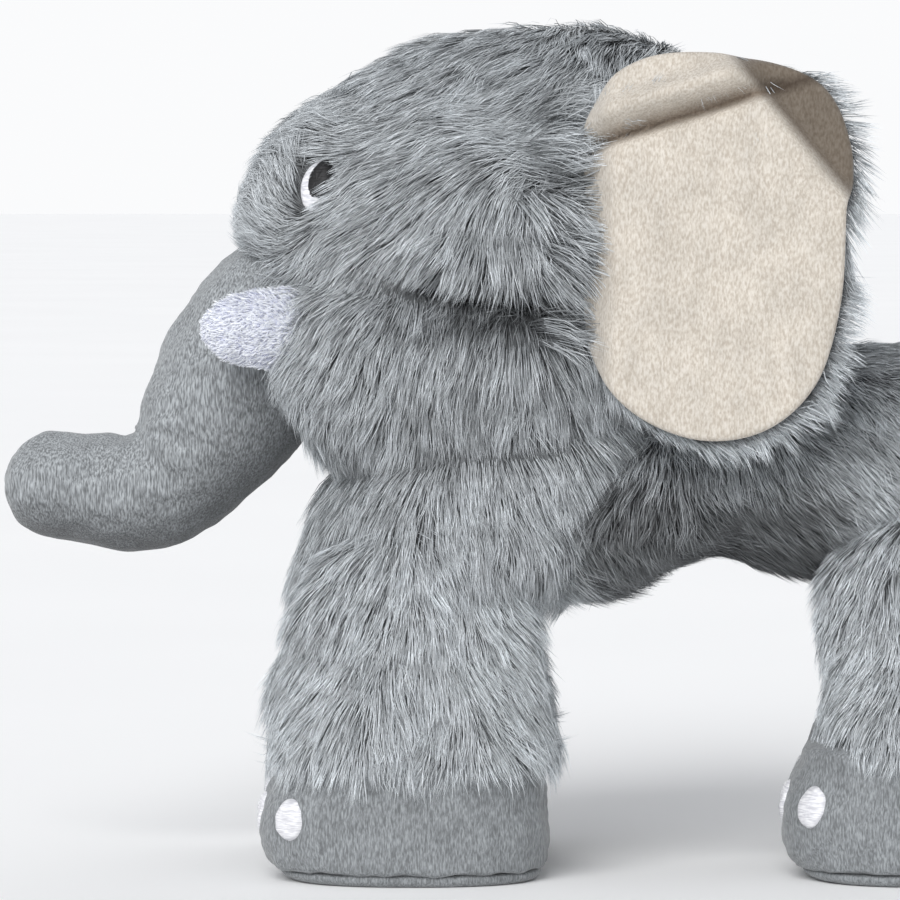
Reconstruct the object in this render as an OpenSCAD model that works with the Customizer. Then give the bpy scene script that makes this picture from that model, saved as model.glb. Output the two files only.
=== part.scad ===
// Standing stuffed elephant. It faces -X, its left side is towards -Y, and it stands on z = 0.
// Every fabric panel is a shell as thick as its pile, and the filling is a solid inside it.

/* [Fabric] */
// Thickness of the long-pile fur, backing and pile together
fur = 8; // [6:0.5:9]
// Thickness of the short-pile fabric on the trunk and feet
velour = 3; // [2:0.5:4]
// Space between a panel and the filling behind it
fill_gap = 0.2; // [0.1:0.05:0.5]
// Clearance between pieces that move on each other
joint_gap = 0.5; // [0.4:0.1:1]

/* [Head] */
// Half the width of the head across the cheeks
cheek_half = 62; // [58:1:64]
// Half the width of the panel over the forehead
bridge_half = 34; // [33:1:38]
// Height of the seam where the bridge panel ends above the trunk
bridge_z = 208; // [205:1:214]
// How far the crease across the cheek is pulled in
crease_depth = 5; // [1:1:6]

/* [Eyes and tusks] */
// Height of the embroidered eye
eye_h = 19; // [14:1:22]
// Width of the embroidered eye along the head
eye_w = 13; // [10:1:15]
// Length of a tusk from its seam
tusk_len = 37; // [30:1:40]
// Radius of a tusk at its root
tusk_r = 11.5; // [9:0.5:12]

/* [Trunk] */
// Radius of the trunk at its root
trunk_root_r = 29; // [26:0.5:29]
// Half width of the trunk near its tip
trunk_tip_r = 17.5; // [15:0.5:19]

/* [Ears] */
// Angle by which the ears stand out from the head
ear_flare = 15; // [8:1:20]
// Angle by which the tops of the ears lean in towards the head
ear_lean = 7; // [3:1:8]
// Thickness of the beige lining
lining = 3; // [2:0.5:4]
// Thickness of the furry back
ear_fur = 5; // [4:0.5:7]

/* [Legs] */
// Half the length of a front leg along the body
front_half = 44; // [40:1:44]
// Half the length of a hind leg along the body
hind_half = 40; // [38:1:42]
// Height of the shoulder pivots
front_hip_z = 82; // [78:1:83]
// Height of the hip pivots
hind_hip_z = 92; // [86:1:94]
// Height of a front foot
front_foot_h = 42; // [30:1:46]
// Height of a hind foot
hind_foot_h = 46; // [38:1:48]
// How far the right hind leg stands behind the left one
hind_step = 10; // [0:1:10]

/* [Tail] */
// Radius of the tail's tube
tail_r = 4; // [3:0.5:4]

/* [Hidden] */
sides = 24;
shoulder_x = -42;
hip_x = 130;
leg_in = 26;         // inner face of a leg at its pivot, from the middle plane
leg_out = 70;        // outer face there
foot_y = 43;         // middle of a foot
foot_half_y = 33;
sole_h = 3.5;
toe_reach = 6;       // how far a foot stands out past its leg
crease_z = 195;
head_power = 2.6;    // how square the head is seen from above
front_leg = [shoulder_x, front_hip_z, front_half, front_foot_h];
hind_leg = [hip_x, hind_hip_z, hind_half, hind_foot_h];
trunk_root = [-88, 186];
elbow_step = 5;      // the path point where the trunk bends
trunk_up = 20;       // angles by which the trunk may lift and lower
trunk_down = 10;
tip_up = 20;
tip_down = 15;
slot_half = trunk_root_r + 2.5;
ear_seam = [14, 64.5, 190];   // the seam's lower end
eye_at = [-67, 233];
eye_turn = 28;       // the side of the head turns this far forward at the eye
eye_under = 2.5;     // the eye lies this deep in the pile
stitch = 2.5;
tusk_at = [-77, 45, 185];
tail_path = [[175, 100], [176, 118], [176, 138], [174, 148]];
far = 200;

// Each station of the head: height, front, back, half width
head_stations = [
    [139, -56, 2, 28],
    [146, -76, 20, 46],
    [158, -86, 36, cheek_half - 4],
    [174, -90, 50, cheek_half],
    [187, -92, 60, cheek_half - 1],
    [crease_z, -92, 66, cheek_half - crease_depth],
    [204, -97, 71, cheek_half - 2],
    [220, -106, 78, cheek_half - 1],
    [238, -102, 82, cheek_half - 4],
    [256, -88, 80, cheek_half - 11],
    [272, -68, 70, cheek_half - 21],
    [284, -46, 52, cheek_half - 34],
    [291, -24, 28, 13],
    [293, -14, 14, 5],
];
// Each station of the torso: distance along it, bottom, top, half width
torso_stations = [
    [-72, 98, 114, 10],
    [-63, 92, 122, 18],
    [-48, 89, 127, 23],
    [-18, 88, 129, 26],
    [2, 89, 132, 50],
    [20, 91, 143, 58],
    [40, 99, 155, 59],
    [60, 104, 168, 58],
    [85, 99, 177, 60],
    [110, 95, 180, 61],
    [135, 97, 179, 58],
    [155, 106, 171, 48],
    [167, 119, 157, 30],
    [172, 131, 146, 12],
];
// Each station of the trunk: x, z, half thickness, half width
trunk_stations = [
    [trunk_root.x, trunk_root.y, trunk_root_r, trunk_root_r],
    [-99, 169, 29, 28.5],
    [-109, 153, 27, 26.5],
    [-118, 140, 24, 24.5],
    [-127, 131.5, 22, 22],
    [-137, 128, 20.8, 20.5],
    [-149, 128, 19.5, 19],
    [-160, 129.5, 18, trunk_tip_r],
    [-169, 132, 15, trunk_tip_r - 3],
    [-175.5, 133.5, 10.5, trunk_tip_r - 8],
    [-179, 134.2, 5, 4],
    [-179.56, 134.4, 1.5, 1.2],
];
// The ear's outline, as distance behind its seam and height above the seam's lower end
ear_outline = [
    [0, 0], [0, 35], [2, 66], [22, 84], [52, 85], [76, 74], [88, 53],
    [91, 28], [89, 0], [81, -25], [64, -40], [42, -43], [20, -34], [5, -17],
];

// Rounded sections: the power of a superellipse, and a smooth curve through points
function bent(v, n) = sign(v) * pow(abs(v), 2 / n);
function curve(p, t) =
    let (n = len(p) - 1, i = min(floor(t), n - 1), f = t - i,
         a = p[max(i - 1, 0)], b = p[i], c = p[i + 1], d = p[min(i + 2, n)])
    b + 0.5 * f * (c - a + f * (2 * a - 5 * b + 4 * c - d + f * (3 * b - a - 3 * c + d)));
function closed_curve(p, steps) =
    [for (i = [0:len(p) - 1], s = [0:steps - 1])
        let (n = len(p), f = s / steps,
             a = p[(i + n - 1) % n], b = p[i], c = p[(i + 1) % n], d = p[(i + 2) % n])
        b + 0.5 * f * (c - a + f * (2 * a - 5 * b + 4 * c - d + f * (3 * b - a - 3 * c + d)))];
function flat_ring(z, cx, cy, rx, ry, n = 2.4) =
    [for (i = [0:sides - 1]) let (a = 360 * i / sides)
        [cx + rx * bent(cos(a), n), cy + ry * bent(sin(a), n), z]];
function inset(low, high, v, t) = (low + high) / 2 + (v - (low + high) / 2) * (1 - 2 * t / (high - low));

// A closed solid through rings of points, all with the same number of points
module loft(rings) {
    m = len(rings[0]);
    last = len(rings) - 1;
    polyhedron(
        points = [for (r = rings) each r],
        faces = [
            [for (i = [0:m - 1]) i],
            [for (i = [m - 1:-1:0]) last * m + i],
            for (k = [0:last - 1], i = [0:m - 1]) let (j = (i + 1) % m)
                each [[k * m + i, (k + 1) * m + i, (k + 1) * m + j], [k * m + i, (k + 1) * m + j, k * m + j]],
        ],
        convexity = 6);
}

// A flat shape in the X-Z plane, swept across the middle plane
module across(half) {
    rotate([90, 0, 0]) translate([0, 0, -half]) linear_extrude(2 * half) children();
}

module box_between(low, high) {
    translate(low) cube(high - low);
}

module right_side(side) {
    if (side > 0) children();
    else mirror([0, 1, 0]) children();
}

// Head
module head_form(t = 0) {
    low = head_stations[0][0];
    high = head_stations[len(head_stations) - 1][0];
    loft([for (s = head_stations)
        flat_ring(inset(low, high, s[0], t), (s[1] + s[2]) / 2, 0,
                  max((s[2] - s[1]) / 2 - t, 2), max(s[3] - t, 2), head_power)]);
}

function trunk_heading() = let (s = trunk_stations) atan2(s[1][1] - s[0][1], s[1][0] - s[0][0]);

// The room that the trunk's root needs while it lifts and lowers
module trunk_slot(t = 0) {
    across(slot_half + t) translate(trunk_root) {
        circle_polygon(trunk_root_r + joint_gap + t);
        hull()
            for (a = [-trunk_up - 2, 0, trunk_down + 2])
                rotate(trunk_heading() + a)
                    translate([0, -trunk_root_r - joint_gap - t])
                        square([90, 2 * (trunk_root_r + joint_gap + t)]);
    }
}

module circle_polygon(r, n = 32) {
    polygon([for (i = [0:n - 1]) [r * cos(360 * i / n), r * sin(360 * i / n)]]);
}

module head_body(t = 0) {
    difference() {
        head_form(t);
        trunk_slot(t);
    }
}

module head_shell() {
    difference() {
        head_body();
        head_body(fur);
    }
}

module eye_prism(w, h, shift) {
    translate([eye_at.x, 30, eye_at.y]) rotate([0, 0, eye_turn]) rotate([-90, 0, 0])
        translate([shift, 0, 0]) linear_extrude(50)
            polygon([for (i = [0:19]) [w / 2 * cos(18 * i), h / 2 * sin(18 * i)]]);
}

module eye_layer() {
    difference() {
        head_form(eye_under);
        head_form(eye_under + stitch);
    }
}

module eye_white(side) {
    color("white") right_side(side) difference() {
        intersection() {
            eye_layer();
            eye_prism(eye_w, eye_h, 0);
        }
        eye_prism(eye_w * 0.7, eye_h * 0.8, eye_w * 0.12);
    }
}

module iris(side) {
    color("black") right_side(side) intersection() {
        eye_layer();
        eye_prism(eye_w * 0.7, eye_h * 0.8, eye_w * 0.12);
    }
}

module cheek(side) {
    color("slategray") right_side(side) difference() {
        intersection() {
            head_shell();
            box_between([-far, bridge_half, 0], [far, far, 2 * far]);
        }
        difference() {
            eye_prism(eye_w, eye_h, 0);
            head_form(eye_under + stitch);
        }
    }
}

module bridge_panel() {
    color("lightslategray") intersection() {
        head_shell();
        box_between([-far, -bridge_half, bridge_z], [far, bridge_half, 2 * far]);
    }
}

module chin_panel() {
    color("dimgray") intersection() {
        head_shell();
        box_between([-far, -bridge_half, 0], [far, bridge_half, bridge_z]);
    }
}

module head_fill() {
    color("white") head_body(fur + fill_gap);
}

module tusk(side) {
    color("ghostwhite") right_side(side) difference() {
        translate(tusk_at) rotate([0, 0, 172]) rotate([0, 90, 0])
            loft([for (b = [0, 0.35, 0.62, 0.82, 0.94, 1])
                [for (i = [0:15]) let (r = tusk_r * pow(1 - pow(b, 3.2), 0.6) + 0.6)
                    [r * cos(22.5 * i), r * sin(22.5 * i), tusk_len * b]]]);
        head_form();
    }
}

// Trunk
function trunk_direction(t) =
    let (d = curve(trunk_stations, t + 0.05) - curve(trunk_stations, max(t - 0.05, 0)))
    [d[0], d[1]] / norm([d[0], d[1]]);
function trunk_ring(s, d, t) =
    [for (i = [0:sides - 1])
        let (a = -360 * (i + 0.5) / sides, r = max(s[2] - t, 0.4), w = max(s[3] - t, 0.4))
        [s[0] - d.y * r * cos(a), w * sin(a), s[1] + d.x * r * cos(a)]];
function trunk_dome(t) =
    let (d = trunk_direction(0), r = trunk_root_r - t)
    [for (b = [82, 60, 38, 18])
        trunk_ring([trunk_root.x - d.x * r * sin(b), trunk_root.y - d.y * r * sin(b),
                    r * cos(b), r * cos(b)], d, 0)];
module trunk_form(t = 0) {
    last = len(trunk_stations) - 1;
    loft(concat(trunk_dome(t), [for (k = [0:last])
        trunk_ring(trunk_stations[k] - [-t, 0, 0, 0] * k / last, trunk_direction(min(k, last - 0.06)), t)]));
}

// Everything on the head's side of the trunk's bend, or on the tip's side, with room for the tip to turn
module trunk_part(is_tip) {
    bend = trunk_stations[elbow_step];
    across(60) translate([bend[0], bend[1]])
        rotate(atan2(trunk_direction(elbow_step).y, trunk_direction(elbow_step).x))
        if (is_tip)
            polygon([[joint_gap, 0], [joint_gap + 60 * tan(tip_down), 60], [90, 60],
                     [90, -60], [joint_gap + 60 * tan(tip_up), -60]]);
        else
            translate([-120, -60]) square([120, 120]);
}

module trunk_piece(is_tip) {
    color("dimgray") intersection() {
        difference() {
            trunk_form();
            trunk_form(velour);
        }
        trunk_part(is_tip);
        children();
    }
}

module trunk_half(is_tip, side) {
    trunk_piece(is_tip) right_side(side) box_between([-far, 0, 0], [0, 60, far + 50]);
}

module trunk_filling(is_tip) {
    color("white") intersection() {
        trunk_form(velour + fill_gap);
        trunk_part(is_tip);
    }
}

// Ears
module ear_layer(side, near, far_face) {
    right_side(side) translate(ear_seam) rotate([ear_lean, 0, 0]) rotate([0, 0, ear_flare]) rotate([90, 0, 0])
        translate([0, 0, -far_face]) linear_extrude(far_face - near) polygon(closed_curve(ear_outline, 3));
}

module ear_lining(side) {
    color("tan") ear_layer(side, ear_fur, ear_fur + lining);
}

module ear_back(side) {
    color("slategray") ear_layer(side, 0, ear_fur);
}

// Torso
module torso_form(t = 0) {
    low = torso_stations[0][0];
    high = torso_stations[len(torso_stations) - 1][0];
    loft([for (s = torso_stations)
        [for (i = [0:sides - 1])
            let (a = 360 * (i + 0.5) / sides, hz = max((s[2] - s[1]) / 2 - t, 1.5), hy = max(s[3] - t, 1.5))
            [inset(low, high, s[0], t),
             hy * bent(cos(a), 2.4), (s[1] + s[2]) / 2 + hz * bent(sin(a), 2.4)]]]);
}

module leg_room(leg, shift, t) {
    for (side = [-1, 1])
        right_side(side) translate([leg[0] + (side > 0 ? shift : 0), leg_in - joint_gap - t, leg[1]])
            rotate([-90, 0, 0]) linear_extrude(far) circle_polygon(leg[2] + joint_gap + t);
}

module torso_body(t = 0) {
    difference() {
        torso_form(t);
        leg_room(front_leg, 0, t);
        leg_room(hind_leg, hind_step, t);
    }
}

module torso_shell() {
    difference() {
        torso_body();
        torso_body(fur);
    }
}

module gusset_zone() {
    box_between([-far, -20, 0], [far, 20, 118]);
}

module torso_panel(side) {
    color("slategray") difference() {
        intersection() {
            torso_shell();
            right_side(side) box_between([-far, 0, 0], [far, far, far + 50]);
        }
        gusset_zone();
    }
}

module belly_gusset() {
    color("dimgray") intersection() {
        torso_shell();
        gusset_zone();
    }
}

module torso_fill() {
    color("white") torso_body(fur + fill_gap);
}

// Legs. A leg is [x of its pivot, height of its pivot, half length, height of its foot].
function leg_ring(leg, b, t) =
    let (c = max(cos(b), 0.08), r = leg[2] - t)
    flat_ring(leg[1] + r * sin(b), leg[0], (leg_in + leg_out) / 2,
              r * c, ((leg_out - leg_in) / 2 - t) * sqrt(c));
function leg_lower(leg, f, t) =
    let (z = leg[3] + (leg[1] - leg[3]) * f,
         y_in = leg_in + (12 - leg_in) * (1 - f), y_out = leg_out + 4 * (1 - f))
    flat_ring(z, leg[0] - 1 + f, (y_in + y_out) / 2, leg[2] + (1 - f) - t, (y_out - y_in) / 2 - t);
function leg_rings(leg, t) =
    concat([for (f = [0, 0.5]) leg_lower(leg, f, t)],
           [for (b = [0, 22, 42, 60, 74, 86]) leg_ring(leg, b, t)]);
function foot_ring(leg, z, grow) =
    let (h = leg[3], u = z / h, bulge = toe_reach * sin(180 * pow(u, 0.8)))
    flat_ring(z, leg[0] - bulge, foot_y, leg[2] - 2 + bulge * 0.5 + grow + (u == 0 ? -4 : 0),
              foot_half_y + bulge * 0.3 - 1 + grow + (u == 0 ? -4 : 0));
function foot_rings(leg, low, grow) =
    [for (z = concat([low], [for (f = [0.2, 0.4, 0.6, 0.8]) f * leg[3]], [leg[3] - fill_gap]))
        foot_ring(leg, z, grow)];

module place_leg(side, shift) {
    right_side(side) translate([side > 0 ? shift : 0, 0, 0]) children();
}

module sleeve(leg, side, shift) {
    color("slategray") place_leg(side, shift) difference() {
        loft(leg_rings(leg, 0));
        loft(concat([leg_lower(leg, -0.02, fur)], leg_rings(leg, fur)));
    }
}

module leg_fill(leg, side, shift) {
    color("white") place_leg(side, shift)
        loft(concat(foot_rings(leg, sole_h + fill_gap, -velour - fill_gap), leg_rings(leg, fur + fill_gap)));
}

module foot(leg, side, shift) {
    color("dimgray") place_leg(side, shift) difference() {
        loft(foot_rings(leg, sole_h, 0));
        loft(concat([foot_ring(leg, sole_h - 1, -velour)], foot_rings(leg, sole_h, -velour),
                    [foot_ring(leg, leg[3] + 1, -velour)]));
    }
}

module sole(leg, side, shift) {
    color("gray") place_leg(side, shift) loft([foot_ring(leg, 0, 0), foot_ring(leg, sole_h, 0)]);
}

module nails(leg, side, shift) {
    nail_z = leg[3] - 20;
    color("white") place_leg(side, shift) difference() {
        intersection() {
            loft(foot_rings(leg, sole_h, 1.2));
            for (turn = [-38, 0, 38])
                translate([leg[0] - 12, foot_y, nail_z]) rotate([0, 0, turn]) rotate([0, -90, 0])
                    linear_extrude(60) polygon([for (i = [0:15]) [7 * cos(22.5 * i), 5.5 * sin(22.5 * i)]]);
        }
        loft(foot_rings(leg, sole_h, 0.05));
    }
}

// Tail
module tail_tube() {
    color("dimgray") loft([for (p = tail_path)
        flat_ring(p.y, p.x, 0, p.y > 147 ? 1.2 : tail_r, p.y > 147 ? 2 : tail_r, 2)]);
}

module tail_tuft() {
    color("slategray") loft([for (s = [[66, 1], [72, 3.4], [82, 4.6], [94, 4], [100, 3]])
        flat_ring(s[0], 175, 0, s[1], s[1] * 1.3, 2)]);
}

torso_panel(-1);  // torso_panel_left
torso_panel(1);  // torso_panel_right
belly_gusset();
torso_fill();
cheek(-1);  // cheek_left
cheek(1);  // cheek_right
bridge_panel();
chin_panel();
head_fill();
eye_white(-1);  // eye_left
iris(-1);  // iris_left
eye_white(1);  // eye_right
iris(1);  // iris_right
tusk(-1);  // tusk_left
tusk(1);  // tusk_right
trunk_half(false, -1);  // trunk_left
trunk_half(false, 1);  // trunk_right
trunk_filling(false);  // trunk_fill
trunk_half(true, -1);  // trunk_tip_left
trunk_half(true, 1);  // trunk_tip_right
trunk_filling(true);  // trunk_tip_fill
ear_lining(-1);  // ear_lining_left
ear_back(-1);  // ear_back_left
ear_lining(1);  // ear_lining_right
ear_back(1);  // ear_back_right
sleeve(front_leg, -1, 0);  // front_sleeve_left
leg_fill(front_leg, -1, 0);  // front_fill_left
foot(front_leg, -1, 0);  // front_foot_left
sole(front_leg, -1, 0);  // front_sole_left
nails(front_leg, -1, 0);  // front_nails_left
sleeve(front_leg, 1, 0);  // front_sleeve_right
leg_fill(front_leg, 1, 0);  // front_fill_right
foot(front_leg, 1, 0);  // front_foot_right
sole(front_leg, 1, 0);  // front_sole_right
nails(front_leg, 1, 0);  // front_nails_right
sleeve(hind_leg, -1, hind_step);  // hind_sleeve_left
leg_fill(hind_leg, -1, hind_step);  // hind_fill_left
foot(hind_leg, -1, hind_step);  // hind_foot_left
sole(hind_leg, -1, hind_step);  // hind_sole_left
nails(hind_leg, -1, hind_step);  // hind_nails_left
sleeve(hind_leg, 1, hind_step);  // hind_sleeve_right
leg_fill(hind_leg, 1, hind_step);  // hind_fill_right
foot(hind_leg, 1, hind_step);  // hind_foot_right
sole(hind_leg, 1, hind_step);  // hind_sole_right
nails(hind_leg, 1, hind_step);  // hind_nails_right
tail_tube();
tail_tuft();
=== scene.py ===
"""Looks of the standing stuffed elephant. It faces -X, its left side is towards -Y, it stands on z = 0.

Forms are worked out in millimetres, as in the CAD, and turned into metres when a mesh is made.
"""

import math

import bpy
import numpy as np
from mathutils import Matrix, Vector
from mathutils.bvhtree import BVHTree
from mathutils.kdtree import KDTree


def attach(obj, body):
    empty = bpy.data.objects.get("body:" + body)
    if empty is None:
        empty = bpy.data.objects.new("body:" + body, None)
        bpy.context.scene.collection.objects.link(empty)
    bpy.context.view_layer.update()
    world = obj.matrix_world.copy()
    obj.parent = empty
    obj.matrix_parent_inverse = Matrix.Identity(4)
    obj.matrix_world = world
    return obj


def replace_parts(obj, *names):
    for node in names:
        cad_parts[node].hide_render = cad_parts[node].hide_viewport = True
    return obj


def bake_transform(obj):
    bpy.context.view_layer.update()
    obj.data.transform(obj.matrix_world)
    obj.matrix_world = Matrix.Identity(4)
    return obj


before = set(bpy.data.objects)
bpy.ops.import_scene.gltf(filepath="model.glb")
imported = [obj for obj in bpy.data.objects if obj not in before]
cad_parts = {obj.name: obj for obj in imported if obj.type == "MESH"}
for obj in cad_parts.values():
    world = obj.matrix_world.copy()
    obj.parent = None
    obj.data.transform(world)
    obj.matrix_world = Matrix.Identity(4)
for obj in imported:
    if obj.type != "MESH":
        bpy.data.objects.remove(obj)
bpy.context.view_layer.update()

MM = 0.001
SIDES = (("left", -1), ("right", 1))

# Fur
UNDER_FUR = 7.0  # how deep the woven backing lies under the fur's outline
STRAND_WIDTH = 0.28
STRANDS_PER_MM2 = 1.45
STRANDS_PER_PIECE = 39000
STRAND_STEPS = np.array([0.0, 0.33, 0.68, 1.0])  # shares of a strand's length, from its root to its tip
STRAND_TAPER = np.array([0.85, 1.0, 0.72, 0.0])  # how wide it is at each of them

# Places on the body
TRUNK_ROOT = np.array([-88.0, 0.0, 186.0])
SHOULDER = np.array([-42.0, 48.0, 82.0])
HIP = np.array([130.0, 48.0, 92.0])
HIND_STEP = 10.0  # how far the right hind leg stands behind the left one
EYE = np.array([-67.0, 233.0])  # x and z of the middle of an eye
EYE_OUT = 30.0
EYE_TURN = math.radians(28)
TUSK_ROOT = np.array([-77.0, 41.0, 185.0])
EAR_SEAM = np.array([14.0, 64.5, 190.0])
EAR_FLARE = math.radians(15)
EAR_LEAN = math.radians(7)


# ------------------------------------------------------------------ numbers


def ease(low, high, value):
    """0 before low, 1 after high, and smooth in between. Low may be the larger one."""
    t = np.clip((value - low) / (high - low), 0, 1)
    return t * t * (3 - 2 * t)


def hump(distance, width):
    """1 at no distance, falling smoothly to 0 on both sides."""
    return np.exp(-((distance / width) ** 2))


def spline(rows, per):
    """A smooth curve through the rows, with per points to each interval."""
    rows = np.array(rows, float)
    last = len(rows) - 1
    made = []
    for i in range(last):
        a, b, c, d = rows[max(i - 1, 0)], rows[i], rows[i + 1], rows[min(i + 2, last)]
        for f in np.arange(per) / per:
            made.append(b + 0.5 * f * (c - a + f * (2 * a - 5 * b + 4 * c - d + f * (3 * b - a - 3 * c + d))))
    made.append(rows[-1])
    return np.array(made)


def unit(v):
    return v / np.maximum(np.linalg.norm(v, axis=-1, keepdims=True), 1e-9)


def everywhere(value):
    """A function that gives the same value, or the same way, at every place."""
    return lambda place: np.broadcast_to(value, (len(place), *np.shape(value)))


def wander(place, size, seed):
    """Smooth noise of about -1 to 1 whose features are about size millimetres across."""
    rng = np.random.default_rng(seed)
    total = np.zeros(len(place))
    for _ in range(6):
        way = unit(rng.normal(size=3)) * 2 * math.pi / size * rng.uniform(0.6, 1.5)
        total += np.sin(place @ way + rng.uniform(0, 2 * math.pi))
    return total / 2.6


# ------------------------------------------------------------------ meshes


def make(name, points, faces, material):
    mesh = bpy.data.meshes.new(name)
    mesh.from_pydata((np.asarray(points) * MM).tolist(), [], [tuple(int(i) for i in f) for f in faces])
    mesh.update()
    mesh.shade_smooth()
    piece = bpy.data.objects.new(name, mesh)
    bpy.context.scene.collection.objects.link(piece)
    mesh.materials.append(material)
    return piece


def loft(centres, across, along, power=2.4, sides=96):
    """Points and faces of a closed skin through rounded rings, each a centre and two half axes."""
    turn = 2 * math.pi * (np.arange(sides) + 0.5) / sides
    c = np.sign(np.cos(turn)) * np.abs(np.cos(turn)) ** (2 / power) * np.ones((len(centres), 1))
    s = np.sign(np.sin(turn)) * np.abs(np.sin(turn)) ** (2 / power) * np.ones((len(centres), 1))
    rings = centres[:, None] + across[:, None] * c[:, :, None] + along[:, None] * s[:, :, None]
    return skin_of(rings)


def skin_of(rings):
    """Points and faces of a closed skin through rings of points, facing outwards."""
    count, sides = rings.shape[:2]
    points = np.concatenate([rings.reshape(-1, 3), [rings[0].mean(0)], [rings[-1].mean(0)]])
    k = np.arange(count - 1)[:, None] * sides
    i = np.arange(sides)
    j = (i + 1) % sides
    quads = np.broadcast_arrays(k + i, k + j, k + sides + j, k + sides + i)
    faces = np.stack(quads, -1).reshape(-1, 4).tolist()
    start, end, top = count * sides, count * sides + 1, (count - 1) * sides
    faces += [(start, b, a) for a, b in zip(i, j)]
    faces += [(end, top + a, top + b) for a, b in zip(i, j)]
    a, b, c = rings[0][0], rings[0][sides // 4], rings[0][sides // 2]
    if np.dot(np.cross(b - a, c - b), rings[1].mean(0) - rings[0].mean(0)) < 0:
        faces = [tuple(reversed(f)) for f in faces]
    return points, faces


def on_side(points, faces, side):
    """Points and faces that are made for the right side, mirrored when the side is the left one."""
    if side > 0:
        return points, faces
    return points * np.array([1, -1, 1]), [tuple(reversed(f)) for f in faces]


def points_of(piece):
    mesh = piece.data
    found = np.zeros(len(mesh.vertices) * 3)
    mesh.vertices.foreach_get("co", found)
    normals = np.zeros_like(found)
    mesh.vertices.foreach_get("normal", normals)
    return found.reshape(-1, 3) / MM, normals.reshape(-1, 3)


def press(piece, amount):
    """Moves each point along its normal by amount(points, normals) millimetres."""
    points, normals = points_of(piece)
    points += normals * amount(points, normals)[:, None]
    piece.data.vertices.foreach_set("co", (points * MM).ravel())
    piece.data.update()


# ------------------------------------------------------------------ materials


def new_material(name):
    made = bpy.data.materials.new(name)
    made.use_nodes = True
    tree = made.node_tree
    return made, tree, tree.nodes["Principled BSDF"]


def noise(tree, place, size, detail=2.0, stretch=(1, 1, 1), turn=(0, 0, 0)):
    """A noise node whose features are about size millimetres across, longer along the axes in stretch."""
    mapping = tree.nodes.new("ShaderNodeMapping")
    mapping.inputs["Rotation"].default_value = turn
    mapping.inputs["Scale"].default_value = [1 / (size * MM * s) for s in stretch]
    made = tree.nodes.new("ShaderNodeTexNoise")
    made.inputs["Scale"].default_value = 1.0
    made.inputs["Detail"].default_value = detail
    tree.links.new(place, mapping.inputs["Vector"])
    tree.links.new(mapping.outputs["Vector"], made.inputs["Vector"])
    return made.outputs["Fac"]


def ramp(tree, value, stops):
    made = tree.nodes.new("ShaderNodeValToRGB")
    for k, (at, colour) in enumerate(stops):
        stop = made.color_ramp.elements[k] if k < 2 else made.color_ramp.elements.new(at)
        stop.position = at
        stop.color = (*colour, 1)
    tree.links.new(value, made.inputs["Fac"])
    return made.outputs["Color"]


def multiplied(tree, share, a, b):
    """One colour multiplied by a share of another."""
    made = tree.nodes.new("ShaderNodeMix")
    made.data_type = "RGBA"
    made.blend_type = "MULTIPLY"
    made.inputs["Factor"].default_value = share
    tree.links.new(a, made.inputs["A"])
    tree.links.new(b, made.inputs["B"])
    return made.outputs["Result"]


def multiply_base(tree, shade):
    """Multiplies the base colour that a material already has."""
    base = tree.nodes["Principled BSDF"].inputs["Base Color"]
    colour = base.links[0].from_socket
    tree.links.new(multiplied(tree, 1.0, colour, shade), base)


def fabric(name, dark, mid, light, grain=0.55, streak=4.0, turn=(0, 0.12, 0), depth=0.35, sheen=0.25):
    """Short-pile fabric: fine upright streaks where the nap lies, over soft patches of brushed pile."""
    made, tree, shader = new_material(name)
    place = tree.nodes.new("ShaderNodeTexCoord").outputs["Object"]
    nap = noise(tree, place, grain, 3, (1, 1, streak), turn)
    patches = noise(tree, place, 9, 3, (1, 1, 1.6), turn)
    fine = ramp(tree, nap, [(0.35, dark), (0.66, light), (0.5, mid)])
    broad = ramp(tree, patches, [(0.3, (0.84, 0.84, 0.84)), (0.7, (1.0, 1.0, 1.0))])
    tree.links.new(multiplied(tree, 0.9, fine, broad), shader.inputs["Base Color"])
    bump = tree.nodes.new("ShaderNodeBump")
    bump.inputs["Strength"].default_value = 0.9
    bump.inputs["Distance"].default_value = depth * MM
    tree.links.new(nap, bump.inputs["Height"])
    tree.links.new(bump.outputs["Normal"], shader.inputs["Normal"])
    rough = tree.nodes.new("ShaderNodeMapRange")
    rough.inputs["To Min"].default_value = 0.95
    rough.inputs["To Max"].default_value = 0.6
    tree.links.new(nap, rough.inputs["Value"])
    tree.links.new(rough.outputs["Result"], shader.inputs["Roughness"])
    shader.inputs["Sheen Weight"].default_value = sheen
    shader.inputs["Sheen Roughness"].default_value = 0.45
    return made


def paint_shade_below(cloth, share):
    """Painted shade: multiplies a fabric's colour by share where it faces down, so its underside looks
    shaded.
    """
    tree = cloth.node_tree
    split = tree.nodes.new("ShaderNodeSeparateXYZ")
    tree.links.new(tree.nodes.new("ShaderNodeTexCoord").outputs["Normal"], split.inputs["Vector"])
    facing = tree.nodes.new("ShaderNodeMapRange")
    facing.inputs["From Min"].default_value = -0.95
    facing.inputs["From Max"].default_value = 0.1
    tree.links.new(split.outputs["Z"], facing.inputs["Value"])
    shade = ramp(tree, facing.outputs["Result"], [(0.0, (share, share, share)), (1.0, (1.0, 1.0, 1.0))])
    multiply_base(tree, shade)


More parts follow.
